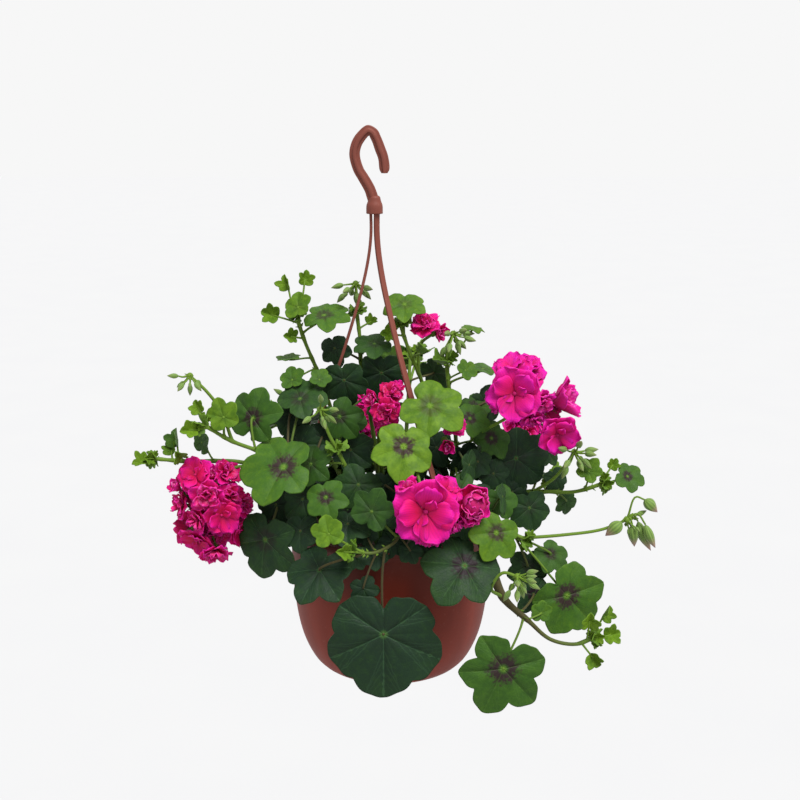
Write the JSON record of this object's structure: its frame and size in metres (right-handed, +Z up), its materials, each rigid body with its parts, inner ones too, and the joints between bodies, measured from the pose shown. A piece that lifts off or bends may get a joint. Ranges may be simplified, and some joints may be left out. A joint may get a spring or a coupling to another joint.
{
  "type": "hanging basket plant",
  "caption": "Trailing ivy-leaved geranium with magenta bloom heads in a bowl-shaped plastic hanging pot, carried by flat straps and a hook.",
  "frame": {"origin": "the hook's seat: the inner top of the hook, where it bears on the bracket, rail or nail that the basket hangs from", "axes": "+Z up, away from the pot and along the pull of the hook; +X to the right and -Y towards the viewer on the show side"},
  "size_m": [0.5028, 0.3459, 0.546],
  "materials": {
    "pot_plastic": "satin",
    "hanger_plastic": "satin",
    "potting_soil": "matte",
    "leaves": "satin",
    "petals": "matte"
  },
  "bodies": {
    "root": {"pot": "pot_plastic", "soil": "potting_soil", "hook": "hanger_plastic", "strap_left": "hanger_plastic", "strap_front": "hanger_plastic", "strap_back": "hanger_plastic", "bloom_left": "petals", "bloom_top": "petals", "bloom_centre": "petals", "bloom_right": "petals", "bloom_middle": "petals", "bloom_opening": "petals", "bloom_front": "petals", "bloom_back_right": "petals", "bloom_back_low": "petals", "stem_left_shoot": "leaves", "stem_left_lower": "leaves", "stem_upper_left": "leaves", "stem_top_centre": "leaves", "stem_upper_right": "leaves", "stem_centre_back": "leaves", "stem_right_upper": "leaves", "stem_right_long": "leaves", "stem_right_reach": "leaves", "stem_right_lower": "leaves", "stem_front": "leaves", "stem_front_left": "leaves", "stem_centre_right": "leaves", "stem_back_right": "leaves", "stem_back_high": "leaves", "stem_back_low": "leaves", "stem_back_left": "leaves"}
  },
  "joints": []
}
